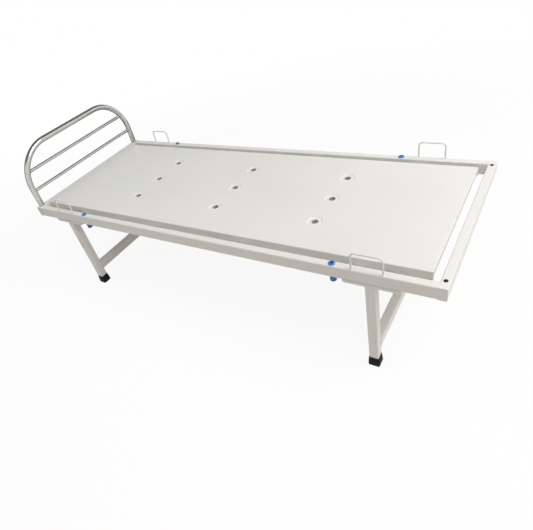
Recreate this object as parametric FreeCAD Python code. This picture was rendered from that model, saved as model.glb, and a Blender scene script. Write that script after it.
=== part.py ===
import FreeCAD, Part
import math
import os

os.makedirs("parts", exist_ok=True)

# Attendant bed, millimetres.
# +X runs from the head to the foot, +Y from the near side to the far side and +Z up.
# The origin is on the floor under the middle of the bed.

# Bed
bed_length = 1830.0  # outer face of the head rail to outer face of the foot rail
bed_width = 700.0  # over the outer faces of the side rails
rail_top_height = 418.0  # floor to the top of the rails

# Rails: rectangular tube
rail_height = 44.0
rail_width = 27.0
rail_wall = 1.6
rail_corner = 4.0  # outer radius of the tube's long edges

# Sheet top
deck_thickness = 1.2
deck_proud = 2.0  # sheet above the top of the rails
deck_side_gap = 29.0  # side rail to the sheet's turned-down edge
deck_foot_gap = 24.0  # foot rail to the sheet's turned-down edge
deck_flange = 31.0  # depth of the turned-down edge at the sides
deck_end_flange = 16.0  # its depth across the two ends
deck_return = 10.0  # full depth carried round each corner on to the ends
deck_bend = 2.5  # outer radius of the bend
deck_corner = 3.0  # outer radius of the upright corners

# Vent holes in the sheet top, each in a pressed dish whose floor rises to the hole
dish_radius = 27.0
dish_floor_radius = 22.5
dish_depth = 3.0
dish_rise = 1.5  # floor's rise from the foot of the dish's wall to the hole
dish_hole_radius = 12.5
dish_head_margin = 467.0  # head end of the sheet to the first column of dishes
dish_foot_margin = 427.0  # last column of dishes to the foot end of the sheet
dish_side_margin = 147.0  # side of the sheet to the outer rows of dishes
dish_columns = 3
dish_rows = 3

# Bushes that line the vent holes
bush_wall = 1.4
bush_length = 17.0
bush_clearance = 0.1

# Cross tubes that carry the sheet
bearer_width = 40.0
bearer_height = 15.0
bearer_wall = 1.6
bearer_corner = 2.5
bearer_head_margin = 252.5  # head end of the sheet to the axis of the first tube
bearer_foot_margin = 212.5  # axis of the last tube to the foot end of the sheet

# Legs: square tube
leg_size = 32.0
leg_wall = 1.6
leg_corner = 2.5
leg_inset = 213.5  # end of the bed to the leg's axis

# Flat bar on top of each leg
leg_bar_length = 174.0
leg_bar_thickness = 10.0
leg_bar_end_radius = 9.0

# Tube between the two legs of each end
crossbar_height = 36.0
crossbar_width = 32.0
crossbar_wall = 1.6
crossbar_corner = 3.0
crossbar_clear = 73.0  # floor to the tube's underside

# Rubber shoes
shoe_height = 40.0
shoe_floor = 10.0  # rubber under the end of the leg
shoe_top_wall = 1.2
shoe_foot_size = 39.5
shoe_foot_height = 14.0  # height of the widest outline
shoe_tread_size = 33.0
shoe_tread_round = 4.5  # height of the rounded edge under the shoe
shoe_corner = 5.0
shoe_clearance = 0.1

# Pole sockets: a flanged sleeve through each end of each side rail, held by a collar under the rail
socket_gap = 22.5  # inner end of the leg bar to the collar
pole_bore_radius = 5.5
sleeve_radius = 9.5
sleeve_drop = 20.5  # sleeve below the rail
sleeve_clearance = 0.1
sleeve_flange_radius = 11.0
sleeve_flange_height = 5.0
collar_radius = 11.0
collar_height = 20.0
collar_clearance = 0.05

# Mattress retainers: bent wire
wire_radius = 3.0
retainer_inset = 222.0  # end of the bed to the retainer's middle
retainer_width = 96.0  # between the axes of its two feet
retainer_height = 60.0  # top of the rail to the axis of the wire
retainer_bend = 15.0  # bend radius at the wire's axis
retainer_edge = 6.0  # outer face of the rail to the axis of the wire

# Head bow: bent tube with two rungs, lifted out of two sockets
bow_tube_radius = 12.7
bow_tube_wall = 1.2
bow_post_inset = 22.0  # end of the head rail to the axis of the bow's post
bow_height = 254.0  # top of the rail to the axis of the tube
bow_bend = 170.0  # bend radius at the tube's axis
rung_radius = 7.0
upper_rung_height = 160.0
lower_rung_height = 74.0
rung_clearance = 0.1
spigot_radius = 8.0
spigot_depth = 33.0  # spigot below the end of the bow's tube
spigot_grip = 40.0  # spigot inside the bow's tube
spigot_chamfer = 1.5
spigot_grip_clearance = 0.05
bow_socket_clearance = 0.3
bow_socket_wall = 1.0

# Black plugs in the top of the foot rail
plug_inset = 33.0  # end of the foot rail to the plug's axis
plug_head_radius = 6.3
plug_head_height = 2.4
plug_dome_height = 1.6
plug_shank_radius = 5.0
plug_shank_depth = 7.0
plug_clearance = 0.1

# Places that follow from the sizes above
half_length = bed_length / 2
half_width = bed_width / 2
rail_bottom_height = rail_top_height - rail_height
side_rail_y = half_width - rail_width / 2
end_rail_x = half_length - rail_width / 2
inner_x = half_length - rail_width
inner_y = half_width - rail_width
deck_top = rail_top_height + deck_proud
deck_head_x = -inner_x
deck_foot_x = inner_x - deck_foot_gap
deck_half_width = inner_y - deck_side_gap
dish_first_x = deck_head_x + dish_head_margin
dish_pitch_x = (deck_foot_x - dish_foot_margin - dish_first_x) / (dish_columns - 1)
dish_first_y = dish_side_margin - deck_half_width
dish_pitch_y = -2 * dish_first_y / (dish_rows - 1)
dish_wall_slope = math.atan2(dish_depth, dish_radius - dish_floor_radius)
dish_floor_slope = math.atan2(dish_rise, dish_floor_radius - dish_hole_radius)
bush_radius = dish_hole_radius - bush_clearance
dish_rim_shift = deck_thickness * math.tan(dish_wall_slope / 2)  # bend's offset through the sheet
bearer_names = ("bearer_head", "bearer_mid_head", "bearer_mid_foot", "bearer_foot")
bearer_first_x = deck_head_x + bearer_head_margin
bearer_pitch = (deck_foot_x - bearer_foot_margin - bearer_first_x) / (len(bearer_names) - 1)
bearer_top = deck_top - deck_flange
leg_x = half_length - leg_inset
leg_y = half_width - leg_size / 2
leg_top = rail_bottom_height - leg_bar_thickness
socket_x = leg_x - leg_bar_length / 2 - socket_gap - collar_radius
retainer_x = half_length - retainer_inset
retainer_y = half_width - retainer_edge
bow_x = -end_rail_x
bow_post_y = half_width - bow_post_inset
plug_y = half_width - plug_inset


def vec(x, y, z):
    return FreeCAD.Vector(x, y, z)


def export(shape, node):
    shape.exportStep("parts/" + node + ".step")


def box(low, high):
    return Part.makeBox(high[0] - low[0], high[1] - low[1], high[2] - low[2], vec(*low))


def edges_along(shape, axis):
    # straight edges parallel to axis 0, 1 or 2
    found = []
    for edge in shape.Edges:
        run = edge.Vertexes[-1].Point - edge.Vertexes[0].Point
        if abs(abs(run[axis]) - run.Length) < 1e-6:
            found.append(edge)
    return found


def bar(low, high, axis, corner):
    # solid bar with rounded edges along one axis
    solid = box(low, high)
    return solid.makeFillet(corner, edges_along(solid, axis))


def tube(low, high, axis, wall, corner, end_wall=0.0):
    # rectangular tube along one axis, open at the ends unless it has an end wall
    outer = bar(low, high, axis, corner)
    hollow_low = [value + wall for value in low]
    hollow_high = [value - wall for value in high]
    overrun = 1.0 if end_wall == 0.0 else -end_wall
    hollow_low[axis] = low[axis] - overrun
    hollow_high[axis] = high[axis] + overrun
    return outer.cut(bar(hollow_low, hollow_high, axis, corner - wall))


def hole(x, y, low_z, high_z, radius):
    return Part.makeCylinder(radius, high_z - low_z, vec(x, y, low_z))


def revolve(points, x, y, z):
    # solid of revolution about an upright axis from (radius, height) points
    corners = [vec(radius, 0, height) for radius, height in points]
    face = Part.Face(Part.makePolygon(corners + [corners[0]]))
    solid = face.revolve(vec(0, 0, 0), vec(0, 0, 1), 360)
    solid.translate(vec(x, y, z))
    return solid


def u_rod(foot, along, reach, height, bend, radius):
    # round rod bent into an upside-down U that stands on z = foot.z
    # along is the unit direction from its first post to its second
    up = vec(0, 0, 1)
    turn = up.cross(along)
    flat = reach - bend
    low = height - bend

    def at(across, rise):
        return foot + along * across + up * rise

    def disc(centre, normal):
        return Part.Face(Part.Wire(Part.makeCircle(radius, centre, normal)))

    first_bend = disc(at(-reach, low), up).revolve(at(-flat, low), turn, 90)
    second_bend = disc(at(flat, height), along).revolve(at(flat, low), turn, 90)
    crown = disc(at(-flat, height), along).extrude(along * (2 * flat))
    posts = [disc(at(side * reach, 0), up).extrude(up * low) for side in (-1, 1)]
    return crown.fuse([first_bend, second_bend] + posts).removeSplitter()


def make_side_rail(side):
    centre = side * side_rail_y
    low = [-inner_x, centre - rail_width / 2, rail_bottom_height]
    high = [inner_x, centre + rail_width / 2, rail_top_height]
    rail = tube(low, high, 0, rail_wall, rail_corner)
    for end in (-1, 1):
        cutter = hole(end * socket_x, centre, rail_bottom_height - 1, rail_top_height + 1,
                      sleeve_radius + sleeve_clearance)
        rail = rail.cut(cutter)
    return rail


def make_end_rail(end):
    centre = end * end_rail_x
    low = [centre - rail_width / 2, -half_width, rail_bottom_height]
    high = [centre + rail_width / 2, half_width, rail_top_height]
    return tube(low, high, 1, rail_wall, rail_corner, rail_wall)


def make_head_rail():
    rail = make_end_rail(-1)
    for side in (-1, 1):
        cutter = hole(bow_x, side * bow_post_y, rail_top_height - rail_wall - 1, rail_top_height + 1,
                      spigot_radius + bow_socket_clearance)
        rail = rail.cut(cutter)
    return rail


def make_foot_rail():
    rail = make_end_rail(1)
    for side in (-1, 1):
        cutter = hole(end_rail_x, side * plug_y, rail_top_height - rail_wall - 1, rail_top_height + 1,
                      plug_shank_radius + plug_clearance)
        rail = rail.cut(cutter)
    return rail


def make_bow_sockets():
    # sleeves inside the head rail, between its bottom wall and its top wall
    inner = spigot_radius + bow_socket_clearance
    outer = inner + bow_socket_wall
    low = rail_bottom_height + rail_wall
    high = rail_top_height - rail_wall
    sleeves = []
    for side in (-1, 1):
        sleeve = hole(bow_x, side * bow_post_y, low, high, outer)
        sleeves.append(sleeve.cut(hole(bow_x, side * bow_post_y, low - 1, high + 1, inner)))
    return Part.makeCompound(sleeves)


def pan(low, high, bend, corner=0.0):
    # closed block with a rounded top edge, and with rounded upright corners if asked
    block = bar(low, high, 2, corner) if corner else box(low, high)
    top_edges = [edge for edge in block.Edges
                 if all(abs(vertex.Z - high[2]) < 1e-6 for vertex in edge.Vertexes)]
    return block.makeFillet(bend, top_edges)


def make_dish(x, y):
    # pressed dish of even thickness, cut off upright at the hole
    t = deck_thickness
    rim = dish_radius + dish_rim_shift
    lean = (dish_wall_slope - dish_floor_slope) / 2
    reach = t / math.cos((dish_wall_slope + dish_floor_slope) / 2)  # through the fold, wall to floor
    under_foot = (dish_floor_radius + reach * math.sin(lean), -dish_depth - reach * math.cos(lean))
    under_hole = dish_rise - dish_depth - t / math.cos(dish_floor_slope)
    points = [(dish_radius, 0.0),
              (dish_floor_radius, -dish_depth),
              (dish_hole_radius, dish_rise - dish_depth),
              (dish_hole_radius, under_hole),
              under_foot,
              (rim, -t),
              (rim, 0.0)]
    return revolve(points, x, y, deck_top)


def make_deck():
    t = deck_thickness
    low = [deck_head_x, -deck_half_width, deck_top - deck_flange]
    high = [deck_foot_x, deck_half_width, deck_top]
    outer = pan(low, high, deck_bend, deck_corner)
    hollow_low = [low[0] + t, low[1] + t, low[2] - 1]
    hollow_high = [high[0] - t, high[1] - t, high[2] - t]
    sheet = outer.cut(pan(hollow_low, hollow_high, deck_bend - t))
    notch_reach = deck_half_width - deck_return
    sheet = sheet.cut(box([low[0] - 1, -notch_reach, low[2] - 1],
                          [high[0] + 1, notch_reach, deck_top - deck_end_flange]))
    dishes = []
    for column in range(dish_columns):
        for row in range(dish_rows):
            x = dish_first_x + column * dish_pitch_x
            y = dish_first_y + row * dish_pitch_y
            sheet = sheet.cut(hole(x, y, deck_top - t - 1, deck_top + 1, dish_radius + dish_rim_shift))
            dishes.append(make_dish(x, y))
    return sheet.fuse(dishes).removeSplitter()


def make_vent_bushes():
    # short sleeves in the vent holes, flush with the floors of the dishes
    high = deck_top - dish_depth + dish_rise
    low = high - bush_length
    bushes = []
    for column in range(dish_columns):
        for row in range(dish_rows):
            x = dish_first_x + column * dish_pitch_x
            y = dish_first_y + row * dish_pitch_y
            bush = hole(x, y, low, high, bush_radius)
            bushes.append(bush.cut(hole(x, y, low - 1, high + 1, bush_radius - bush_wall)))
    return Part.makeCompound(bushes)


def make_bearer(index):
    x = bearer_first_x + index * bearer_pitch
    low = [x - bearer_width / 2, -inner_y, bearer_top - bearer_height]
    high = [x + bearer_width / 2, inner_y, bearer_top]
    return tube(low, high, 1, bearer_wall, bearer_corner)


def make_leg_bar(end, side):
    centre = end * leg_x
    low = [centre - leg_bar_length / 2, side * leg_y - leg_size / 2, leg_top]
    high = [centre + leg_bar_length / 2, side * leg_y + leg_size / 2, rail_bottom_height]
    block = box(low, high)
    lower_ends = [edge for edge in edges_along(block, 1) if abs(edge.Vertexes[0].Z - low[2]) < 1e-6]
    return block.makeFillet(leg_bar_end_radius, lower_ends)


def make_leg(end, side):
    low = [end * leg_x - leg_size / 2, side * leg_y - leg_size / 2, shoe_floor]
    high = [end * leg_x + leg_size / 2, side * leg_y + leg_size / 2, leg_top]
    return tube(low, high, 2, leg_wall, leg_corner)


def make_crossbar(end):
    centre = end * leg_x
    reach = leg_y - leg_size / 2
    low = [centre - crossbar_width / 2, -reach, crossbar_clear]
    high = [centre + crossbar_width / 2, reach, crossbar_clear + crossbar_height]
    return tube(low, high, 1, crossbar_wall, crossbar_corner)


def square_wire(x, y, z, size, corner):
    # rounded square outline at one height
    half = size / 2
    flat = half - corner
    slope = corner * math.sqrt(0.5)
    edges = []
    for turn in range(4):
        angle = turn * math.pi / 2
        c = round(math.cos(angle))
        s = round(math.sin(angle))

        def point(u, v):
            return vec(x + u * c - v * s, y + u * s + v * c, z)

        edges.append(Part.LineSegment(point(half, -flat), point(half, flat)).toShape())
        middle = point(flat + slope, flat + slope)
        edges.append(Part.Arc(point(half, flat), middle, point(flat, half)).toShape())
    return Part.Wire(edges)


def make_shoe(end, side):
    x = end * leg_x
    y = side * leg_y
    top_size = leg_size + 2 * shoe_clearance + 2 * shoe_top_wall
    outlines = [square_wire(x, y, 0, shoe_tread_size, shoe_corner),
                square_wire(x, y, shoe_tread_round, shoe_foot_size, shoe_corner),
                square_wire(x, y, shoe_foot_height, shoe_foot_size, shoe_corner),
                square_wire(x, y, shoe_height, top_size, leg_corner + shoe_top_wall)]
    shoe = Part.makeLoft(outlines, True, True)
    reach = leg_size / 2 + shoe_clearance
    pocket = bar([x - reach, y - reach, shoe_floor], [x + reach, y + reach, shoe_height + 1],
                 2, leg_corner)
    return shoe.cut(pocket)


def make_pole_socket(end, side):
    # sleeve with its flange on the rail, and the collar round it under the rail
    x = end * socket_x
    y = side * side_rail_y
    low = rail_bottom_height - sleeve_drop
    high = rail_top_height + sleeve_flange_height
    points = [(pole_bore_radius, low),
              (sleeve_radius, low),
              (sleeve_radius, rail_top_height),
              (sleeve_flange_radius, rail_top_height),
              (sleeve_flange_radius, high),
              (pole_bore_radius, high)]
    collar_low = rail_bottom_height - collar_height
    collar = hole(x, y, collar_low, rail_bottom_height, collar_radius)
    inner = hole(x, y, collar_low - 1, rail_bottom_height + 1, sleeve_radius + collar_clearance)
    return Part.makeCompound([revolve(points, x, y, 0), collar.cut(inner)])


def make_retainer(end, side):
    foot = vec(end * retainer_x, side * retainer_y, rail_top_height)
    return u_rod(foot, vec(1, 0, 0), retainer_width / 2, retainer_height, retainer_bend, wire_radius)


def bow_rod(radius):
    foot = vec(bow_x, 0, rail_top_height)
    return u_rod(foot, vec(0, 1, 0), bow_post_y, bow_height, bow_bend, radius)


def make_bow_tube():
    return bow_rod(bow_tube_radius).cut(bow_rod(bow_tube_radius - bow_tube_wall))


def make_rung(height):
    # round rod whose ends are coped to the bow's tube
    rod = Part.makeCylinder(rung_radius, 2 * bow_post_y, vec(bow_x, -bow_post_y, rail_top_height + height),
                            vec(0, 1, 0))
    pieces = rod.cut(bow_rod(bow_tube_radius + rung_clearance)).Solids
    return max(pieces, key=lambda piece: piece.Volume)


def make_bow_spigots():
    grip = bow_tube_radius - bow_tube_wall - spigot_grip_clearance
    points = [(0, -spigot_depth),
              (spigot_radius - spigot_chamfer, -spigot_depth),
              (spigot_radius, -spigot_depth + spigot_chamfer),
              (spigot_radius, 0),
              (grip, 0),
              (grip, spigot_grip),
              (0, spigot_grip)]
    return Part.makeCompound([revolve(points, bow_x, side * bow_post_y, rail_top_height)
                              for side in (-1, 1)])


def make_plug(side):
    # domed head over a short shank
    rim = plug_head_height - plug_dome_height
    dome = (plug_head_radius ** 2 + plug_dome_height ** 2) / (2 * plug_dome_height)
    half_turn = math.asin(plug_head_radius / dome) / 2
    middle = vec(dome * math.sin(half_turn), 0, plug_head_height - dome * (1 - math.cos(half_turn)))
    corners = [vec(0, 0, plug_head_height),
               vec(0, 0, -plug_shank_depth),
               vec(plug_shank_radius, 0, -plug_shank_depth),
               vec(plug_shank_radius, 0, 0),
               vec(plug_head_radius, 0, 0),
               vec(plug_head_radius, 0, rim)]
    edges = [Part.LineSegment(first, second).toShape() for first, second in zip(corners, corners[1:])]
    edges.append(Part.Arc(corners[-1], middle, corners[0]).toShape())
    plug = Part.Face(Part.Wire(edges)).revolve(vec(0, 0, 0), vec(0, 0, 1), 360)
    plug.translate(vec(end_rail_x, side * plug_y, rail_top_height))
    return plug


ends = {"head": -1, "foot": 1}
sides = {"near": -1, "far": 1}

export(make_head_rail(), "head_rail")
export(make_foot_rail(), "foot_rail")
export(make_deck(), "deck_sheet")
export(make_vent_bushes(), "vent_bushes")
for index, name in enumerate(bearer_names):
    export(make_bearer(index), name)
for side_name, side in sides.items():
    export(make_side_rail(side), "side_rail_" + side_name)
    export(make_plug(side), "plug_" + side_name)
    for end_name, end in ends.items():
        corner = side_name + "_" + end_name
        export(make_leg_bar(end, side), "leg_bar_" + corner)
        export(make_leg(end, side), "leg_" + corner)
        export(make_shoe(end, side), "shoe_" + corner)
        export(make_pole_socket(end, side), "pole_socket_" + corner)
        export(make_retainer(end, side), "retainer_" + corner)
for end_name, end in ends.items():
    export(make_crossbar(end), "crossbar_" + end_name)
export(make_bow_sockets(), "bow_sockets")
export(make_bow_tube(), "bow_tube")
export(make_rung(upper_rung_height), "bow_rung_upper")
export(make_rung(lower_rung_height), "bow_rung_lower")
export(make_bow_spigots(), "bow_spigots")
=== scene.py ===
import math

import bmesh
import bpy
import numpy as np
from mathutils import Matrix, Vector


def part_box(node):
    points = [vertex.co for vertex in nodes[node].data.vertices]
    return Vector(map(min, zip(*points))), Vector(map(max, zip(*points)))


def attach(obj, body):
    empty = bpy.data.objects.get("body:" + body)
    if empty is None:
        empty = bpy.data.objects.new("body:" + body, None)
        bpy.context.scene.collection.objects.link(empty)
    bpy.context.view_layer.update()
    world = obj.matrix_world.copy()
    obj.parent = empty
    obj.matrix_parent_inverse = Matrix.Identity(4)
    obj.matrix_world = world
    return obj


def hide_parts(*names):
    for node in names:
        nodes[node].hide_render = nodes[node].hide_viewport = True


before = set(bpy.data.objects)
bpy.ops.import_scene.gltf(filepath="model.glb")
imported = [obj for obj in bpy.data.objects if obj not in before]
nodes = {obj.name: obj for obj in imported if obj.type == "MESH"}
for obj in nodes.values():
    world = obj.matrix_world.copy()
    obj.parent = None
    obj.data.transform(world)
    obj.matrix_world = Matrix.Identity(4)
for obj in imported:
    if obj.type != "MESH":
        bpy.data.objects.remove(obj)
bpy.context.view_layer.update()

# Attendant bed, dressed over its CAD frame. Metres; +X runs head to foot, +Y near to far, +Z up.
mm = 0.001
up = np.array([0.0, 0.0, 1.0])
print("frame loaded:", len(nodes), "nodes")


def ends(node):
    # lowest and highest corner of a CAD node as arrays
    low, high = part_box(node)
    return np.array(low), np.array(high)


# Surfaces

def gridQuads(rows, columns, start=0, wrap=True):
    # quads between each row and the next, and each column and the next; wrap joins the last column to the first
    r, c = np.meshgrid(np.arange(rows - 1), np.arange(columns if wrap else columns - 1), indexing="ij")
    nextC = (c + 1) % columns
    quads = np.stack([r * columns + c, r * columns + nextC, (r + 1) * columns + nextC, (r + 1) * columns + c], -1)
    return quads.reshape(-1, 4) + start


def withPoles(rings):
    # adds a row at each end whose points all lie at the middle of the end ring, which closes the form
    first = np.repeat(rings[:1].mean(axis=1, keepdims=True), rings.shape[1], axis=1)
    last = np.repeat(rings[-1:].mean(axis=1, keepdims=True), rings.shape[1], axis=1)
    return np.concatenate([first, rings, last])


sharpAngle = math.radians(38.0)  # edges that turn more than this stay crisp
mergeReach = 2e-6


def makePiece(name, grids, body, material, wrap=True, along=None):
    # one object at the origin from grids of points (rows, columns, 3); points that coincide are merged
    quads, start = [], 0
    for grid in grids:
        quads.append(gridQuads(grid.shape[0], grid.shape[1], start, wrap))
        start += grid.shape[0] * grid.shape[1]
    points = np.concatenate([grid.reshape(-1, 3) for grid in grids])
    mesh = bpy.data.meshes.new(name)
    mesh.from_pydata(points.tolist(), [], np.concatenate(quads).tolist())
    if along is not None:
        mesh.attributes.new("along", "FLOAT", "POINT").data.foreach_set("value", along.astype(np.float32))
    work = bmesh.new()
    work.from_mesh(mesh)
    bmesh.ops.remove_doubles(work, verts=work.verts, dist=mergeReach)
    bmesh.ops.recalc_face_normals(work, faces=work.faces)
    work.to_mesh(mesh)
    work.free()
    mesh.shade_smooth()
    mesh.set_sharp_from_angle(angle=sharpAngle)
    mesh.materials.append(material)
    piece = bpy.data.objects.new(name, mesh)
    bpy.context.scene.collection.objects.link(piece)
    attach(piece, body)
    return piece


def bentPath(foot, along, reach, height, bend, postSteps, bendSteps, crownSteps):
    # upside-down U: two straight posts, two quarter circles of radius bend and a straight crown between them;
    # gives the points, their directions and the length run so far
    flat, low = reach - bend, height - bend
    turn = np.linspace(math.pi, math.pi / 2, bendSteps + 1)
    rise = np.linspace(0, low, postSteps + 1)
    across = np.linspace(-flat, flat, crownSteps + 1)[1:-1]
    left = np.concatenate([np.stack([np.full_like(rise, -reach), rise], -1),
                           np.stack([-flat + bend * np.cos(turn), low + bend * np.sin(turn)], -1)[1:]])
    leftWay = np.concatenate([np.tile([0.0, 1.0], (postSteps + 1, 1)),
                              np.stack([np.sin(turn), -np.cos(turn)], -1)[1:]])
    middle = np.stack([across, np.full_like(across, height)], -1)
    middleWay = np.tile([1.0, 0.0], (len(across), 1))
    flat2 = np.concatenate([left, middle, left[::-1] * [-1, 1]])
    way2 = np.concatenate([leftWay, middleWay, leftWay[::-1] * [1, -1]])
    points = foot + flat2[:, :1] * along + flat2[:, 1:] * up
    ways = way2[:, :1] * along + way2[:, 1:] * up
    run = np.concatenate([[0.0], np.cumsum(np.linalg.norm(np.diff(points, axis=0), axis=1))])
    return points, ways, run


def sweep(points, ways, radii, sideways, steps):
    # circle carried along a path: point + radius * (cos(angle) * sideways + sin(angle) * (way x sideways))
    angle = np.linspace(0, 2 * math.pi, steps, endpoint=False)
    across = np.cross(ways, sideways)
    across /= np.linalg.norm(across, axis=1, keepdims=True)
    radii = np.broadcast_to(radii, len(points))[:, None, None]
    return points[:, None] + radii * (np.cos(angle)[None, :, None] * np.asarray(sideways)[..., None, :]
                                      + np.sin(angle)[None, :, None] * across[:, None])


def roundedLine(corners, radii, steps=4):
    # flat line through corners, each corner replaced by an arc of its radius that touches both runs
    corners = np.asarray(corners, float)
    line = [corners[:1]]
    for before, corner, after, radius in zip(corners, corners[1:], corners[2:], radii):
        a = (before - corner) / np.linalg.norm(before - corner)
        b = (after - corner) / np.linalg.norm(after - corner)
        half = math.acos(np.clip(a @ b, -1, 1)) / 2
        if radius <= 0 or half > math.pi / 2 - 1e-3:
            line.append(corner[None])
            continue
        middle = corner + (a + b) / np.linalg.norm(a + b) * radius / math.sin(half)
        first = corner + a * radius / math.tan(half) - middle
        last = corner + b * radius / math.tan(half) - middle
        share = np.linspace(0, 1, steps + 1)[:, None]
        spread = math.pi - 2 * half
        arc = (np.sin((1 - share) * spread) * first + np.sin(share * spread) * last) / math.sin(spread)
        line.append(middle + arc)
    line.append(corners[-1:])
    return np.concatenate(line)


def lathe(profile, x, y, steps):
    # each (radius, height) of the profile turned about the upright line through (x, y)
    angle = np.linspace(0, 2 * math.pi, steps, endpoint=False)
    r, z = profile[:, :1], profile[:, 1:]
    return np.stack([x + r * np.cos(angle), y + r * np.sin(angle), z + 0 * angle], -1)


def squareRings(x, y, heights, sizes, corners, steps=6):
    # rounded squares: quarter circles of the corner radius about middles that stand size / 2 - corner out
    quarter = np.linspace(0, math.pi / 2, steps + 1)
    angle = (np.arange(4)[:, None] * math.pi / 2 + quarter).ravel()
    signX = np.repeat([1, -1, -1, 1], steps + 1)
    signY = np.repeat([1, 1, -1, -1], steps + 1)
    size, corner = np.asarray(sizes)[:, None], np.asarray(corners)[:, None]
    out = size / 2 - corner
    z = np.asarray(heights)[:, None] + 0 * angle
    return np.stack([x + signX * out + corner * np.cos(angle), y + signY * out + corner * np.sin(angle), z], -1)


def bead(points, radius, closed, pitch=2.6 * mm, ripple=0.12, steps=8):
    # weld bead: a circle carried along the points, its radius swelling by ripple * sin(2 pi * length / pitch)
    if closed:
        ways = np.roll(points, -1, axis=0) - np.roll(points, 1, axis=0)
    else:
        ways = np.gradient(points, axis=0)
    ways /= np.linalg.norm(ways, axis=1, keepdims=True)
    ref = np.where(np.abs(ways @ up)[:, None] > 0.9, [[0.94, 0.34, 0.0]], up)
    sideways = np.cross(ways, ref)
    sideways /= np.linalg.norm(sideways, axis=1, keepdims=True)
    run = np.concatenate([[0.0], np.cumsum(np.linalg.norm(np.diff(points, axis=0), axis=1))])
    swell = radius * (1 + ripple * np.sin(2 * math.pi * run / pitch))
    rings = sweep(points, ways, swell, sideways, steps)
    return np.concatenate([rings, rings[:1]]) if closed else withPoles(rings)


# Finishes

def startFinish(name, **values):
    # new material whose one shader has these constants on its own sockets
    material = bpy.data.materials.new(name)
    material.use_nodes = True
    shader = material.node_tree.nodes["Principled BSDF"]
    for socket, value in values.items():
        shader.inputs[socket].default_value = value
    return material, shader


def addNode(material, kind, inputs=(), **settings):
    node = material.node_tree.nodes.new(kind)
    for key, value in settings.items():
        setattr(node, key, value)
    for socket, value in dict(inputs).items():
        if isinstance(value, bpy.types.NodeSocket):
            material.node_tree.links.new(value, node.inputs[socket])
        else:
            node.inputs[socket].default_value = value
    return node


def noiseOn(material, scale, detail=2.0, roughness=0.5, stretch=None):
    # fractal noise on the piece's own coordinates, in waves per metre
    place = addNode(material, "ShaderNodeTexCoord").outputs["Object"]
    if stretch is not None:
        place = addNode(material, "ShaderNodeMapping", {"Vector": place, "Scale": stretch}).outputs["Vector"]
    noise = addNode(material, "ShaderNodeTexNoise",
                    {"Vector": place, "Scale": scale, "Detail": detail, "Roughness": roughness})
    return noise.outputs["Fac"]


def between(material, value, low, high, fromLow=0.3, fromHigh=0.7):
    # value carried from its usual range to low .. high
    node = addNode(material, "ShaderNodeMapRange",
                   {"Value": value, "From Min": fromLow, "From Max": fromHigh, "To Min": low, "To Max": high})
    return node.outputs["Result"]


def colourMix(material, factor, first, second):
    node = addNode(material, "ShaderNodeMix", data_type="RGBA")
    tree = material.node_tree
    tree.links.new(factor, node.inputs[0])
    for socket, colour in ((node.inputs[6], first), (node.inputs[7], second)):
        if isinstance(colour, bpy.types.NodeSocket):
            tree.links.new(colour, socket)
        else:
            socket.default_value = (*colour, 1.0)
    return node.outputs[2]


def bumpOn(material, shader, height, strength, distance, before=None):
    inputs = {"Height": height, "Strength": strength, "Distance": distance}
    if before is not None:
        inputs["Normal"] = before
    bump = addNode(material, "ShaderNodeBump", inputs)
    material.node_tree.links.new(bump.outputs["Normal"], shader.inputs["Normal"])
    return bump.outputs["Normal"]


enamelLook = {
    "light": (0.838, 0.820, 0.786),
    "shade": (0.803, 0.789, 0.757),
    "speck": (0.690, 0.670, 0.630),
    "rough": (0.30, 0.42),
    "orangePeel": 330.0,  # waves per metre
    "peelDepth": 0.06 * mm,
    "rollDepth": 4.0 * mm,
}


def enamelFinish(name, waviness):
    # baked enamel: broad cloudy tone, rare dust specks under the coat, orange peel and a faint roll of the sheet
    material, shader = startFinish(name, **{"IOR": 1.5, "Coat Weight": 0.2, "Coat Roughness": 0.12})
    link = material.node_tree.links
    cloud = between(material, noiseOn(material, 3.0, 4.0, 0.6), 0.0, 1.0)
    tone = colourMix(material, cloud, enamelLook["light"], enamelLook["shade"])
    dust = between(material, noiseOn(material, 520.0, 1.0), 0.0, 0.35, 0.755, 0.80)
    link.new(colourMix(material, dust, tone, enamelLook["speck"]), shader.inputs["Base Color"])
    link.new(between(material, noiseOn(material, 46.0, 3.0), *enamelLook["rough"]), shader.inputs["Roughness"])
    roll = bumpOn(material, shader, noiseOn(material, 4.5, 1.0), waviness, enamelLook["rollDepth"])
    bumpOn(material, shader, noiseOn(material, enamelLook["orangePeel"], 2.0), 0.5, enamelLook["peelDepth"], roll)
    return material


steelLook = {
    "bright": (0.64, 0.63, 0.60),
    "dull": (0.50, 0.49, 0.46),
    "rough": (0.10, 0.19),
    "linesPerMetre": 1500.0,
    "lineDepth": 0.02 * mm,
}


def steelFinish(name):
    # polished stainless tube: fine lines round the tube, read from the length along it, and handling haze
    material, shader = startFinish(name, **{"Metallic": 1.0})
    link = material.node_tree.links
    length = addNode(material, "ShaderNodeAttribute", attribute_name="along").outputs["Fac"]
    lines = addNode(material, "ShaderNodeTexNoise", {"W": length, "Scale": steelLook["linesPerMetre"], "Detail": 2.0},
                    noise_dimensions="1D").outputs["Fac"]
    haze = between(material, noiseOn(material, 28.0, 4.0, 0.65), 0.0, 1.0)
    link.new(colourMix(material, haze, steelLook["bright"], steelLook["dull"]), shader.inputs["Base Color"])
    hazeRough = between(material, haze, *steelLook["rough"], 0.0, 1.0)
    lineRough = between(material, lines, -0.02, 0.03)
    rough = addNode(material, "ShaderNodeMath", {0: hazeRough, 1: lineRough}, operation="ADD")
    link.new(rough.outputs[0], shader.inputs["Roughness"])
    bumpOn(material, shader, lines, 0.05, steelLook["lineDepth"])
    return material


weldLook = {
    "bright": (0.36, 0.33, 0.29),
    "browned": (0.15, 0.125, 0.10),
    "rough": (0.30, 0.50),
    "grain": 900.0,
    "depth": 0.1 * mm,
}


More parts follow.
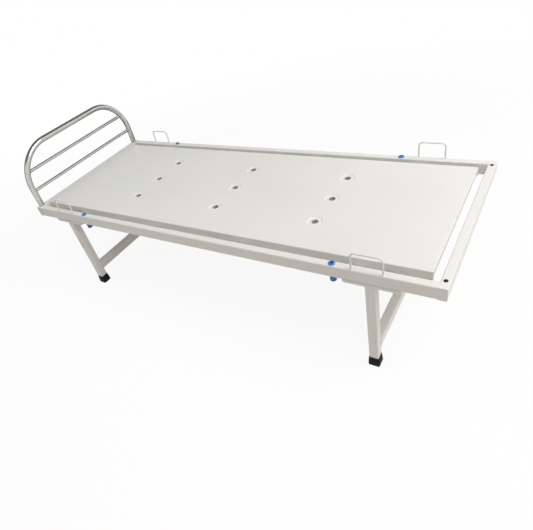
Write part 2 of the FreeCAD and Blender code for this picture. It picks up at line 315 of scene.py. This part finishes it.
def weldFinish(name):
    # brushed weld metal, browned by the heat
    material, shader = startFinish(name, **{"Metallic": 1.0})
    link = material.node_tree.links
    heat = between(material, noiseOn(material, 160.0, 3.0), 0.0, 1.0)
    link.new(colourMix(material, heat, weldLook["bright"], weldLook["browned"]), shader.inputs["Base Color"])
    link.new(between(material, heat, *weldLook["rough"], 0.0, 1.0), shader.inputs["Roughness"])
    bumpOn(material, shader, noiseOn(material, weldLook["grain"], 2.0), 0.4, weldLook["depth"])
    return material


mouldedLooks = {
    "shoeRubber": {
        "light": (0.006, 0.006, 0.007), "dark": (0.012, 0.011, 0.011),
        "rough": (0.50, 0.70), "grain": 620.0, "depth": 0.16 * mm, "coat": 0.0, "shine": 0.12,
    },
    "socketPlastic": {
        "light": (0.068, 0.240, 0.650), "dark": (0.052, 0.190, 0.560),
        "rough": (0.22, 0.34), "grain": 260.0, "depth": 0.04 * mm, "coat": 0.3, "shine": 0.5,
    },
    # a darker copy of the socket's blue: painted shade where the collar sits under the rail
    "collarPlasticPaintedShade": {
        "light": (0.040, 0.145, 0.470), "dark": (0.030, 0.110, 0.390),
        "rough": (0.26, 0.40), "grain": 260.0, "depth": 0.04 * mm, "coat": 0.2, "shine": 0.5,
    },
    # grey of the bushes is painted shade: it stands in for the shaded floor seen down the holes
    "bushPlasticPaintedShade": {
        "light": (0.44, 0.44, 0.43), "dark": (0.36, 0.36, 0.35),
        "rough": (0.40, 0.55), "grain": 480.0, "depth": 0.06 * mm, "coat": 0.0, "shine": 0.5,
    },
    "plugPlastic": {
        "light": (0.010, 0.009, 0.009), "dark": (0.018, 0.016, 0.015),
        "rough": (0.50, 0.65), "grain": 540.0, "depth": 0.08 * mm, "coat": 0.0, "shine": 0.25,
    },
}


def mouldedFinish(name):
    # moulded rubber or plastic: slight mottling, and a grain that also carries the roughness
    look = mouldedLooks[name]
    material, shader = startFinish(name, **{"Coat Weight": look["coat"], "Specular IOR Level": look["shine"]})
    link = material.node_tree.links
    mottle = between(material, noiseOn(material, 85.0, 3.0), 0.0, 1.0)
    link.new(colourMix(material, mottle, look["light"], look["dark"]), shader.inputs["Base Color"])
    texture = noiseOn(material, look["grain"], 3.0, 0.6)
    link.new(between(material, texture, *look["rough"]), shader.inputs["Roughness"])
    bumpOn(material, shader, texture, 0.45, look["depth"])
    return material


enamel = enamelFinish("enamelOnTube", 0.012)
enamelSheet = enamelFinish("enamelOnSheet", 0.03)
bowSteel = steelFinish("polishedBowSteel")
weldSteel = weldFinish("brushedWeld")
shoeRubber = mouldedFinish("shoeRubber")
socketPlastic = mouldedFinish("socketPlastic")
collarPlasticPaintedShade = mouldedFinish("collarPlasticPaintedShade")
bushPlasticPaintedShade = mouldedFinish("bushPlasticPaintedShade")
plugPlastic = mouldedFinish("plugPlastic")
print("finishes made")

for name, node in nodes.items():
    node.data.materials.clear()
    node.data.materials.append(bowSteel if name == "bow_spigots" else enamel)


# Sheet top

sheetTop = {
    "bend": 2.5 * mm,  # outer radius of the turned-down edge
    "corner": 3.0 * mm,
    "thickness": 1.2 * mm,
    "dishX": (-421.0 * mm, 8.0 * mm, 437.0 * mm),
    "dishY": (-147.0 * mm, 0.0, 147.0 * mm),
    "dishRadius": 27.0 * mm,
    "floorRadius": 23.4 * mm,
    "holeRadius": 12.5 * mm,
    "depth": 3.0 * mm,
    "rise": 1.5 * mm,  # floor of the dish up to the hole
    "rimEase": 1.0 * mm,
    "footEase": 0.7 * mm,
    "floorMargin": 2.5 * mm,  # flat rings of the floor stop this far inside its edge
    "footSpan": (-1.8 * mm, 1.2 * mm),  # close rings about the foot of the dish's wall
    "rimSpan": (-2.0 * mm, 1.8 * mm),  # and about its rim
    "outerRing": 5.0 * mm,
    "cell": 73.5 * mm,  # half the square patch round each dish
    "endDepth": 16.0 * mm,  # turned-down edge across the ends
    "cornerReturn": 10.0 * mm,  # full depth carried round each corner on to the ends
    "turns": 80,
}


def easedMax(a, b, ease):
    # the larger of two heights, with a rounded change from one to the other
    return np.maximum(a, b) + np.maximum(ease - np.abs(a - b), 0) ** 2 / (4 * ease)


def dishHeight(r, s):
    # larger of the wall's line and the floor's line, both eased, and never above the sheet
    floor = -s["depth"] + s["rise"] * (s["floorRadius"] - r) / (s["floorRadius"] - s["holeRadius"])
    wall = -s["depth"] * (s["dishRadius"] - r) / (s["dishRadius"] - s["floorRadius"])
    return -easedMax(0 * r, -easedMax(floor, wall, s["footEase"]), s["rimEase"])


def dishPatch(x, y, top, s):
    # rings from the hole out to a circle beyond the rim, then on to the square cell along the same angles
    angle = np.linspace(-math.pi / 4, 7 * math.pi / 4, s["turns"] + 1)
    direction = np.stack([np.cos(angle), np.sin(angle)], -1)
    foot, rim = s["floorRadius"], s["dishRadius"]
    radii = np.concatenate([np.linspace(s["holeRadius"], foot - s["floorMargin"], 4),
                            np.linspace(foot + s["footSpan"][0], foot + s["footSpan"][1], 8),
                            np.linspace(rim + s["rimSpan"][0], rim + s["rimSpan"][1], 10),
                            [rim + s["outerRing"]]])
    rings = radii[:, None, None] * direction
    square = direction * (s["cell"] / np.abs(direction).max(axis=1, keepdims=True))
    share = np.array([0.35, 1.0])[:, None, None]
    rings = np.concatenate([rings, rings[-1] * (1 - share) + square * share])
    height = np.concatenate([dishHeight(radii, s), [0, 0]])[:, None] + 0 * angle
    return np.concatenate([rings + [x, y], (top + height)[..., None]], -1)


def sheetSurface(s):
    # flat blocks between the dish cells, then rounded-rectangle rings down the bend and the turned-down edge
    low, high = ends("deck_sheet")
    b, c = s["bend"], s["corner"]
    spread = s["cell"] * np.tan(np.linspace(-math.pi / 4, math.pi / 4, s["turns"] // 4 + 1))
    bands = []
    for axis, middles in ((0, s["dishX"]), (1, s["dishY"])):
        first, last = low[axis] + s["cornerReturn"], high[axis] - s["cornerReturn"]
        band, at = [(np.array([low[axis] + b, first]), None)], first
        for middle in middles:
            if middle - s["cell"] - at > 1e-6:
                band.append((np.linspace(at, middle - s["cell"], 6), None))
            band.append((middle + spread, middle))
            at = middle + s["cell"]
        band.append((np.linspace(at, last, 6), None))
        band.append((np.array([last, high[axis] - b]), None))
        bands.append(band)
    grids = []
    for xs, dishX in bands[0]:
        for ys, dishY in bands[1]:
            if dishX is not None and dishY is not None:
                grids.append(dishPatch(dishX, dishY, high[2], s))
            else:
                x, y = np.meshgrid(xs, ys, indexing="ij")
                grids.append(np.stack([x, y, np.full_like(x, high[2])], -1))
    allX, allY = [np.concatenate([band[0][0][:1]] + [values[1:] for values, _ in band]) for band in bands]
    fall = np.linspace(0, math.pi / 2, 7)
    insets = np.concatenate([b * (1 - np.sin(fall)), np.zeros(4)])
    drops = np.concatenate([b * (1 - np.cos(fall)), np.linspace(b, s["endDepth"], 3)[1:],
                            np.linspace(s["endDepth"], high[2] - low[2], 3)[1:]])
    rings = []
    for index, (inset, drop) in enumerate(zip(insets, drops)):
        held = b if index == 0 else c
        radius = 0.0 if index == 0 else c - inset
        xs = np.clip(allX, low[0] + held, high[0] - held)
        ys = np.clip(allY, low[1] + held, high[1] - held)
        arc = np.linspace(0, math.pi / 2, 6)[1:-1]
        sides = [np.stack([xs, np.full_like(xs, low[1] + inset)], -1),
                 np.stack([high[0] - held + radius * np.sin(arc), low[1] + held - radius * np.cos(arc)], -1),
                 np.stack([np.full_like(ys, high[0] - inset), ys], -1),
                 np.stack([high[0] - held + radius * np.cos(arc), high[1] - held + radius * np.sin(arc)], -1),
                 np.stack([xs[::-1], np.full_like(xs, high[1] - inset)], -1),
                 np.stack([low[0] + held - radius * np.sin(arc), high[1] - held + radius * np.cos(arc)], -1),
                 np.stack([np.full_like(ys, low[0] + inset), ys[::-1]], -1),
                 np.stack([low[0] + held - radius * np.cos(arc), low[1] + held - radius * np.sin(arc)], -1)]
        ring = np.concatenate(sides + [sides[0][:1]])
        rings.append(np.concatenate([ring, np.full((len(ring), 1), high[2] - drop)], -1))
    edge = np.stack(rings)
    # below the depth of the end edges only the runs along the sides and round their corners go on
    fromMiddle = np.abs(edge[-1, :, 1] - (low[1] + high[1]) / 2)
    deep = np.flatnonzero(fromMiddle > (high[1] - low[1]) / 2 - s["cornerReturn"] - 1e-6)
    runs = np.split(deep, np.flatnonzero(np.diff(deep) > 1) + 1)
    return grids + [edge[:-2]] + [edge[-3:, run] for run in runs]


sheetPiece = makePiece("sheetTop", sheetSurface(sheetTop), "frame", enamelSheet, wrap=False)
topFace = max(sheetPiece.data.polygons, key=lambda face: face.area)
if topFace.normal.z < 0:
    sheetPiece.data.flip_normals()
wall = sheetPiece.modifiers.new("sheetWall", "SOLIDIFY")
wall.thickness = sheetTop["thickness"]
wall.offset = -1.0
wall.use_even_offset = True
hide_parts("deck_sheet")
print("sheet made:", len(sheetPiece.data.polygons), "faces")


# Head bow

bow = {
    "tubeRadius": 12.7 * mm,
    "bend": 170.0 * mm,
    "rungRadius": 7.0 * mm,
    "endEase": 0.9 * mm,  # rounding of the tube's lower end
    "weldRadius": 1.5 * mm,
    "rungSunk": 0.3 * mm,  # end of each rung inside the tube's wall, under its weld
    "around": 48,
    "rungAround": 32,
    "weldAround": 64,
}
bowLow, bowHigh = ends("bow_tube")
bowX = (bowLow[0] + bowHigh[0]) / 2
bowReach = bowHigh[1] - bow["tubeRadius"]
bowFoot = np.array([bowX, 0.0, bowLow[2]])
bowHeight = bowHigh[2] - bow["tubeRadius"] - bowLow[2]
acrossBed = np.array([0.0, 1.0, 0.0])
alongBed = np.array([1.0, 0.0, 0.0])


def tubeWithEasedEnds(points, ways, run, radius, ease, sideways, around):
    # sweep whose radius follows a quarter circle of radius ease at each end, closed by a flat disc
    fall = np.linspace(0, math.pi / 2, 5)
    tips, tipRadii = ease * (1 - np.cos(fall)), radius - ease * (1 - np.sin(fall))
    first = points[:1] + tips[:, None] * ways[:1]
    last = points[-1:] - tips[::-1, None] * ways[-1:]
    inner = slice(1, -1)
    path = np.concatenate([first, points[inner], last])
    way = np.concatenate([np.repeat(ways[:1], 5, 0), ways[inner], np.repeat(ways[-1:], 5, 0)])
    length = np.concatenate([tips, run[inner], run[-1] - tips[::-1]])
    radii = np.concatenate([tipRadii, np.full(len(points) - 2, radius), tipRadii[::-1]])
    rings = withPoles(sweep(path, way, radii, sideways, around))
    return rings, np.repeat(np.concatenate([length[:1], length, length[-1:]]), around)


bowPath, bowWays, bowRun = bentPath(bowFoot, acrossBed, bowReach, bowHeight, bow["bend"], 8, 40, 10)
tube, along = tubeWithEasedEnds(bowPath, bowWays, bowRun, bow["tubeRadius"], bow["endEase"], alongBed, bow["around"])
bowPiece = makePiece("bowTube", [tube], "bow", bowSteel, along=along)
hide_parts("bow_tube")


def innerSide(dx, z, radius):
    # y of the bow tube's inner surface at dx from its axis plane and height z: straight post below the bend,
    # and above it the ring of radius (bend - sqrt(radius^2 - dx^2)) about the bend's middle
    half = np.sqrt(radius ** 2 - dx ** 2)
    middleY, middleZ = bowReach - bow["bend"], bowFoot[2] + bowHeight - bow["bend"]
    above = np.maximum(z - middleZ, 0)
    return middleY + np.sqrt((bow["bend"] - half) ** 2 - above ** 2)


for rungName in ("bow_rung_upper", "bow_rung_lower"):
    low, high = ends(rungName)
    z = (low[2] + high[2]) / 2
    angle = np.linspace(0, 2 * math.pi, bow["rungAround"], endpoint=False)
    dx, dz = bow["rungRadius"] * np.cos(angle), bow["rungRadius"] * np.sin(angle)
    reach = innerSide(dx, z + dz, bow["tubeRadius"] - bow["rungSunk"])
    share = np.linspace(-1, 1, 13)[:, None]
    rod = withPoles(np.stack([bowX + dx + 0 * share, share * reach, z + dz + 0 * share], -1))
    along = rod[:, :, 1].ravel() + bowReach
    rung = makePiece(rungName.replace("bow_rung", "rung"), [rod], "bow", bowSteel, along=along)
    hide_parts(rungName)
    # the weld runs round the rung where it meets the tube
    angle = np.linspace(0, 2 * math.pi, bow["weldAround"], endpoint=False)
    dx = (bow["rungRadius"] + bow["rungSunk"]) * np.cos(angle)
    dz = (bow["rungRadius"] + bow["rungSunk"]) * np.sin(angle)
    joints = []
    for side in (-1, 1):
        curve = np.stack([bowX + dx, side * innerSide(dx, z + dz, bow["tubeRadius"]), z + dz], -1)
        joints.append(bead(curve, bow["weldRadius"], True))
    makePiece(rungName.replace("bow_rung", "weldRung"), joints, "bow", weldSteel)
print("bow made")


# Mattress retainers

retainer = {
    "wireRadius": 3.0 * mm,
    "bend": 15.0 * mm,
    "sunk": 0.4 * mm,  # foot of the wire inside the weld
    "weldReach": 1.5 * mm,
    "weldHeight": 2.2 * mm,
    "weldSunk": 0.5 * mm,  # weld inside the rail
    "around": 20,
}
bedCorners = [(side, end) for side in ("near", "far") for end in ("head", "foot")]
for side, end in bedCorners:
    low, high = ends(f"retainer_{side}_{end}")
    wire = retainer["wireRadius"]
    middle = (low + high) / 2
    reach = (high[0] - low[0]) / 2 - wire
    foot = np.array([middle[0], middle[1], low[2] - retainer["sunk"]])
    height = high[2] - wire - foot[2]
    path, ways, run = bentPath(foot, alongBed, reach, height, retainer["bend"], 4, 14, 4)
    loop = withPoles(sweep(path, ways, wire, acrossBed, retainer["around"]))
    collars = []
    for post in (-1, 1):
        # weld collar: quarter-round hollow from the rail up to the wire
        turn = np.linspace(0, math.pi / 2, 7)
        r = wire + retainer["weldReach"] * (1 - np.sin(turn))
        z = low[2] + retainer["weldHeight"] * (1 - np.cos(turn))
        profile = np.stack([np.concatenate([[r[0]], r]), np.concatenate([[low[2] - retainer["weldSunk"]], z])], -1)
        collars.append(withPoles(lathe(profile, foot[0] + post * reach, foot[1], retainer["around"])))
    piece = makePiece(f"retainer_{side}_{end}_wire", [loop], "frame", enamel)
    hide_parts(f"retainer_{side}_{end}")
    makePiece(f"retainer_{side}_{end}_welds", collars, "frame", enamel)
print("retainers made")


# Legs, shoes, sockets and plugs

leg = {"corner": 2.5 * mm, "topEase": 0.9 * mm, "lowRing": 60 * mm}
shoe = {
    "tread": 33.0 * mm,
    "foot": 39.5 * mm,
    "treadRound": 4.5 * mm,
    "footTop": 14.0 * mm,
    "mouth": 34.6 * mm,
    "corner": 5.0 * mm,
    "mouthCorner": 3.7 * mm,
    "legCorner": 2.6 * mm,
    # rings from the widest part up to the mouth: width past the mouth's, and depth below the top
    "mouthRings": ((1.2 * mm, 6.0 * mm), (0.5 * mm, 4.6 * mm), (0.9 * mm, 2.6 * mm), (0.7 * mm, 0.5 * mm),
                   (-0.6 * mm, 0.0)),
    # rings down between the rubber and the leg: width past the leg's, and depth below the top
    "innerRings": ((0.3 * mm, 0.3 * mm), (0.2 * mm, 4.0 * mm)),
    "groove": 1.2 * mm,
    # sole from the middle out: share of the tread's width, and share of the groove's depth
    "sole": ((0.22, 0.0), (0.42, 0.0), (0.46, 1.0), (0.62, 1.0), (0.66, 0.0)),
    "cornerShare": 0.35,  # most that a corner's radius may take of a ring's width
}
for side, end in bedCorners:
    low, high = ends(f"leg_{side}_{end}")
    x, y = (low[:2] + high[:2]) / 2
    size = high[0] - low[0]
    fall = np.linspace(0, math.pi / 2, 5)
    heights = np.concatenate([[low[2], low[2] + leg["lowRing"], (low[2] + high[2]) / 2],
                              high[2] - leg["topEase"] * (1 - np.sin(fall))])
    sizes = np.concatenate([[size] * 3, size - 2 * leg["topEase"] * (1 - np.cos(fall))])
    rings = withPoles(squareRings(x, y, heights, sizes, np.full(len(sizes), leg["corner"])))
    piece = makePiece(f"leg_{side}_{end}_tube", [rings], "frame", enamel)
    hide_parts(f"leg_{side}_{end}")

    low, high = ends(f"shoe_{side}_{end}")
    top, mouth = high[2], shoe["mouth"]
    turn = np.linspace(0, math.pi / 2, 6)
    spread = shoe["foot"] - shoe["tread"]
    soleSizes, soleHeights = np.array(shoe["sole"]).T * [[shoe["tread"]], [shoe["groove"]]]
    pastMouth, mouthDrops = np.array(shoe["mouthRings"]).T
    pastLeg, innerDrops = np.array(shoe["innerRings"]).T
    sizes = np.concatenate([soleSizes, shoe["tread"] + spread * np.sin(turn), [shoe["foot"]],
                            mouth + pastMouth, size + pastLeg])
    heights = np.concatenate([soleHeights, shoe["treadRound"] * (1 - np.cos(turn)), [shoe["footTop"]],
                              top - mouthDrops, top - innerDrops])
    cornerRadii = np.minimum(shoe["corner"], sizes * shoe["cornerShare"])
    cornerRadii[-7:-2] = shoe["mouthCorner"]
    cornerRadii[-2:] = shoe["legCorner"]
    rings = withPoles(squareRings(x, y, heights, sizes, cornerRadii, 7))
    piece = makePiece(f"shoe_{side}_{end}_rubber", [rings], "frame", shoeRubber)
    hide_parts(f"shoe_{side}_{end}")

socket = {
    "bore": 5.5 * mm,
    "sleeve": 9.5 * mm,
    "flange": 11.0 * mm,
    "flangeHeight": 5.0 * mm,
    "mouthEase": 1.2 * mm,
    "crown": 3.8 * mm,  # rounding of the flange's outer edge
    "collarIn": 9.55 * mm,
    "collarOut": 11.0 * mm,
    "collarDrop": 0.5 * mm,  # collar's lower edge above the end of the sleeve
    "sleeveEases": (0.6 * mm, 1.2 * mm, 0.0, 0.3 * mm),  # corners of the sleeve from its lower mouth to the flange
    "collarEases": (0.4 * mm, 1.0 * mm, 0.3 * mm, 0.3 * mm),
    "around": 56,
}
railBottom = ends("side_rail_near")[0][2]
for side, end in bedCorners:
    low, high = ends(f"pole_socket_{side}_{end}")
    x, y = (low[:2] + high[:2]) / 2
    seat = high[2] - socket["flangeHeight"]
    line = [(socket["bore"], (low[2] + high[2]) / 2), (socket["bore"], low[2]), (socket["sleeve"], low[2]),
            (socket["sleeve"], seat), (socket["flange"], seat), (socket["flange"], high[2]),
            (socket["bore"], high[2]), (socket["bore"], (low[2] + high[2]) / 2)]
    profile = roundedLine(line, [*socket["sleeveEases"], socket["crown"], socket["mouthEase"]], 6)
    foot = low[2] + socket["collarDrop"]
    line = [(socket["collarIn"], (foot + railBottom) / 2), (socket["collarIn"], foot), (socket["collarOut"], foot),
            (socket["collarOut"], railBottom), (socket["collarIn"], railBottom),
            (socket["collarIn"], (foot + railBottom) / 2)]
    collar = roundedLine(line, socket["collarEases"], 5)
    sleeve = [lathe(profile, x, y, socket["around"])]
    piece = makePiece(f"poleSocket_{side}_{end}", sleeve, "frame", socketPlastic)
    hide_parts(f"pole_socket_{side}_{end}")
    # the collar's darker blue is painted shade under the rail, on the same plastic as the socket
    ring = [lathe(collar, x, y, socket["around"])]
    makePiece(f"poleCollar_{side}_{end}", ring, "frame", collarPlasticPaintedShade)

plug = {
    "head": 6.3 * mm,
    "headHeight": 2.4 * mm,
    "rim": 0.8 * mm,
    "rimEase": 0.3 * mm,
    "shank": 5.0 * mm,
    "shankEase": 0.6 * mm,
    "around": 40,
}
for side in ("near", "far"):
    low, high = ends(f"plug_{side}")
    x, y = (low[:2] + high[:2]) / 2
    seat = high[2] - plug["headHeight"]
    share = np.linspace(1, 0, 10)
    crown = plug["headHeight"] - plug["rim"]
    dome = np.stack([plug["head"] * share, seat + plug["rim"] + crown * (1 - share ** 2)], -1)
    shank = np.array([(0.0, low[2]), (plug["shank"] - plug["shankEase"], low[2]),
                      (plug["shank"], low[2] + plug["shankEase"]), (plug["shank"], seat),
                      (plug["head"] - plug["rimEase"], seat), (plug["head"], seat + plug["rimEase"])])
    rings = lathe(np.concatenate([shank, dome]), x, y, plug["around"])
    piece = makePiece(f"railPlug_{side}", [rings], "frame", plugPlastic)
    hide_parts(f"plug_{side}")

# the bushes are a guess, and their grey is painted shade standing in for the shaded floor seen down the holes
bush = {
    "outer": 12.4 * mm,
    "inner": 11.0 * mm,
    "eases": (0.3 * mm, 0.3 * mm, 0.2 * mm, 0.6 * mm),  # the lower two corners, then the upper outer and inner one
    "around": 48,
}
low, high = ends("vent_bushes")
middle = (low[2] + high[2]) / 2
line = [(bush["inner"], middle), (bush["inner"], low[2]), (bush["outer"], low[2]), (bush["outer"], high[2]),
        (bush["inner"], high[2]), (bush["inner"], middle)]
profile = roundedLine(line, bush["eases"], 4)
bushes = [lathe(profile, x, y, bush["around"]) for x in sheetTop["dishX"] for y in sheetTop["dishY"]]
piece = makePiece("ventBushesPaintedShade", bushes, "frame", bushPlasticPaintedShade)
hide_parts("vent_bushes")
print("legs, shoes, sockets, plugs and bushes made")


# Welds under the paint

weld = {
    "radius": 1.7 * mm,
    "pitch": 3.2 * mm,  # length of one ripple
    "tubeCorner": 3.0 * mm,
    "legRadius": 1.4 * mm,
    "legInset": 3.0 * mm,
    "railCorner": 4.0 * mm,
    "railInset": 0.5 * mm,
    "fillWave": 0.03 * mm,
    "waveLength": 4.0 * mm,  # over 2 pi
    "fillPast": 0.5 * mm,  # fill's edge on the end rail's side of the seam
    "fillDepth": (0.12 * mm, 0.03 * mm, 0.03 * mm, 0.03 * mm, 0.03 * mm, 0.06 * mm, 0.5 * mm),
    "fillFloor": 0.2 * mm,  # lowest point below the rail's rounded edge
}


def tubeOutline(low, high, corner, at, spacing=0.6 * mm):
    # closed rounded rectangle round a tube that runs along Y, at the y given, with evenly spaced points
    start = ((low[0] + high[0]) / 2, low[2])
    outline = [start, (high[0], low[2]), (high[0], high[2]), (low[0], high[2]), (low[0], low[2]), start]
    line = roundedLine(outline, [corner] * 4, 5)
    step = np.linalg.norm(np.diff(line, axis=0), axis=1)
    run = np.concatenate([[0.0], np.cumsum(step)])
    even = np.linspace(0, run[-1], int(run[-1] / spacing), endpoint=False)
    return np.stack([np.interp(even, run, line[:, 0]), np.full(len(even), at), np.interp(even, run, line[:, 1])], -1)


for name in ("crossbar_head", "crossbar_foot", "bearer_head", "bearer_mid_head", "bearer_mid_foot", "bearer_foot"):
    low, high = ends(name)
    loops = [bead(tubeOutline(low, high, weld["tubeCorner"], at), weld["radius"], True, weld["pitch"])
             for at in (low[1], high[1])]
    makePiece(name + "_welds", loops, "frame", enamel)

for side, end in bedCorners:
    low, high = ends(f"leg_{side}_{end}")
    runs = []
    for x in (low[0], high[0]):
        y = np.linspace(low[1] + weld["legInset"], high[1] - weld["legInset"], 52)
        line = np.stack([np.full_like(y, x), y, np.full_like(y, high[2])], -1)
        runs.append(bead(line, weld["legRadius"], False, weld["pitch"]))
    makePiece(f"leg_{side}_{end}_welds", runs, "frame", enamel)

for name, side in (("side_rail_near", "near"), ("side_rail_far", "far")):
    low, high = ends(name)
    fills = []
    for x, way in ((low[0], -1), (high[0], 1)):
        for z, rise in ((high[2], 1), (low[2], -1)):
            # ground weld that fills the groove where the side rail meets the end rail's rounded edge; across the
            # rail it drops by radius - sqrt(radius^2 - reach^2), as the rail's own rounded edges do
            radius = weld["railCorner"]
            y = np.linspace(low[1] + weld["railInset"], high[1] - weld["railInset"], 48)
            reach = np.maximum(radius - np.minimum(y - low[1], high[1] - y), 0)
            wave = weld["fillWave"] * np.sin(y / weld["waveLength"])
            drop = (radius - np.sqrt(radius ** 2 - reach ** 2) + wave)[:, None]
            across = np.concatenate([[weld["fillPast"]], -radius * np.array([0.0, 0.25, 0.5, 0.75, 1.0, 1.0])])
            depth = np.array(weld["fillDepth"])
            rows = np.concatenate([across, across[::-1]])
            sunk = np.concatenate([depth, np.full_like(depth, radius)])
            ring = np.stack([x - way * rows + 0 * y[:, None], y[:, None] + 0 * rows,
                             z - rise * np.minimum(sunk + drop, radius + weld["fillFloor"])], -1)
            fills.append(withPoles(ring))
    makePiece(name + "_cornerWelds", fills, "frame", enamel)
print("welds made")


# Floor, light and camera

studio = {
    "keyPower": 69.0,
    "keyAt": (2.5, 0.2, 3.0),
    "keyAim": (0.1, 0.0, 0.4),
    "keySize": 2.4,
    "keyColour": (1.0, 0.975, 0.945),
    "fillPower": 13.0,
    "fillAt": (-0.7, -0.6, 2.7),
    "fillAim": (-0.3, 0.0, 0.4),
    "fillSize": 2.0,
    "fillColour": (0.90, 0.97, 1.0),
    "ambient": 0.455,  # the room's even light; what the camera and a mirror see of it is white
    "floorTone": (0.70, 0.63, 0.56),
    "floorForCamera": 0.90,  # share of plain white in the floor near the bed; the rest shows the shadow
    "shadowReach": (1.6, 3.2),  # the floor goes over to plain white between these distances from the middle
}


def stageMesh(name, points, material):
    mesh = bpy.data.meshes.new(name)
    mesh.from_pydata(points, [], [(0, 1, 2, 3)])
    mesh.materials.append(material)
    thing = bpy.data.objects.new(name, mesh)
    bpy.context.scene.collection.objects.link(thing)
    return thing


def seenDirectly(owner):
    # 1 for rays that come straight from the camera, a mirror or glass
    path = addNode(owner, "ShaderNodeLightPath").outputs
    first = addNode(owner, "ShaderNodeMath", {0: path["Is Camera Ray"], 1: path["Is Glossy Ray"]}, operation="MAXIMUM")
    second = addNode(owner, "ShaderNodeMath", {0: first.outputs[0], 1: path["Is Transmission Ray"]},
                     operation="MAXIMUM")
    return second.outputs[0]


floorMaterial = bpy.data.materials.new("paleFloor")
floorMaterial.use_nodes = True
floorMaterial.node_tree.nodes.clear()
seen = seenDirectly(floorMaterial)
floorColour = colourMix(floorMaterial, seen, studio["floorTone"], (1.0, 1.0, 1.0))
diffuse = addNode(floorMaterial, "ShaderNodeBsdfDiffuse", {"Color": floorColour}).outputs[0]
glow = addNode(floorMaterial, "ShaderNodeEmission", {"Color": (1, 1, 1, 1)}).outputs[0]
place = addNode(floorMaterial, "ShaderNodeTexCoord").outputs["Object"]
away = addNode(floorMaterial, "ShaderNodeVectorMath", {0: place}, operation="LENGTH").outputs["Value"]
plain = between(floorMaterial, away, studio["floorForCamera"], 1.0, *studio["shadowReach"])
share = addNode(floorMaterial, "ShaderNodeMath", {0: seen, 1: plain}, operation="MULTIPLY").outputs[0]
mix = addNode(floorMaterial, "ShaderNodeMixShader", {0: share, 1: diffuse, 2: glow}).outputs[0]
addNode(floorMaterial, "ShaderNodeOutputMaterial", {"Surface": mix})
stageMesh("floor", [(-40, -40, 0), (40, -40, 0), (40, 40, 0), (-40, 40, 0)], floorMaterial)

# grey cards that only the polished bow and the gloss coats mirror: they give the steel its dark streaks
cards = {
    "cardBehindHead": (0.34, [(-1.75, -1.6, 0.0), (-1.75, 3.0, 0.0), (-1.75, 3.0, 1.5), (-1.75, -1.6, 1.5)]),
    "cardAboveHead": (0.18, [(-1.75, -1.6, 1.5), (-1.75, 3.0, 1.5), (0.4, 3.0, 2.4), (0.4, -1.6, 2.4)]),
    "cardOnFloor": (0.10, [(-1.75, -0.6, 0.01), (-1.05, -0.6, 0.01), (-1.05, 3.0, 0.01), (-1.75, 3.0, 0.01)]),
    "cardFarSide": (0.10, [(-1.05, 0.55, 0.01), (0.3, 0.55, 0.01), (0.3, 3.0, 0.01), (-1.05, 3.0, 0.01)]),
}
for name, (cardTone, points) in cards.items():
    cardMaterial, _ = startFinish(name + "Tone", **{
        "Base Color": (0, 0, 0, 1), "Specular IOR Level": 0.0,
        "Emission Color": (1, 1, 0.96, 1), "Emission Strength": cardTone})
    card = stageMesh(name, points, cardMaterial)
    card.visible_camera = False
    card.visible_diffuse = False
    card.visible_shadow = False

world = bpy.data.worlds.new("softRoom")
world.use_nodes = True
bpy.context.scene.world = world
background = world.node_tree.nodes["Background"]
background.inputs["Color"].default_value = (1, 1, 1, 1)
level = between(world, seenDirectly(world), studio["ambient"], 1.0, 0.0, 1.0)
world.node_tree.links.new(level, background.inputs["Strength"])


def areaLamp(name, at, aim, size, power, colour):
    data = bpy.data.lights.new(name, "AREA")
    data.shape = "DISK"
    data.size = size
    data.energy = power
    data.color = colour
    lamp = bpy.data.objects.new(name, data)
    bpy.context.scene.collection.objects.link(lamp)
    # tilted from straight down by the angle between up and the way to the lamp, then turned about up
    x, y, z = np.array(at) - np.array(aim)
    lamp.location = at
    lamp.rotation_euler = (math.atan2(math.hypot(x, y), z), 0, math.atan2(y, x) + math.pi / 2)


for lampName in ("key", "fill"):
    areaLamp(lampName + "Lamp", *[studio[lampName + part] for part in ("At", "Aim", "Size", "Power", "Colour")])

view = {
    "location": (1.0767, -1.2689, 1.2866),
    "turn": (50.163, 12.215, 31.482),
    "lens": 30.125,
    "shift": (0.0313, 0.0181),
}
cameraData = bpy.data.cameras.new("photoCamera")
cameraData.sensor_fit = "HORIZONTAL"
cameraData.sensor_width = 36.0
cameraData.lens = view["lens"]
cameraData.shift_x, cameraData.shift_y = view["shift"]
camera = bpy.data.objects.new("photoCamera", cameraData)
camera.location = view["location"]
camera.rotation_euler = [math.radians(value) for value in view["turn"]]
bpy.context.scene.collection.objects.link(camera)
bpy.context.scene.camera = camera
bpy.context.scene.view_settings.view_transform = "Standard"
print("stage, lamps and camera made")
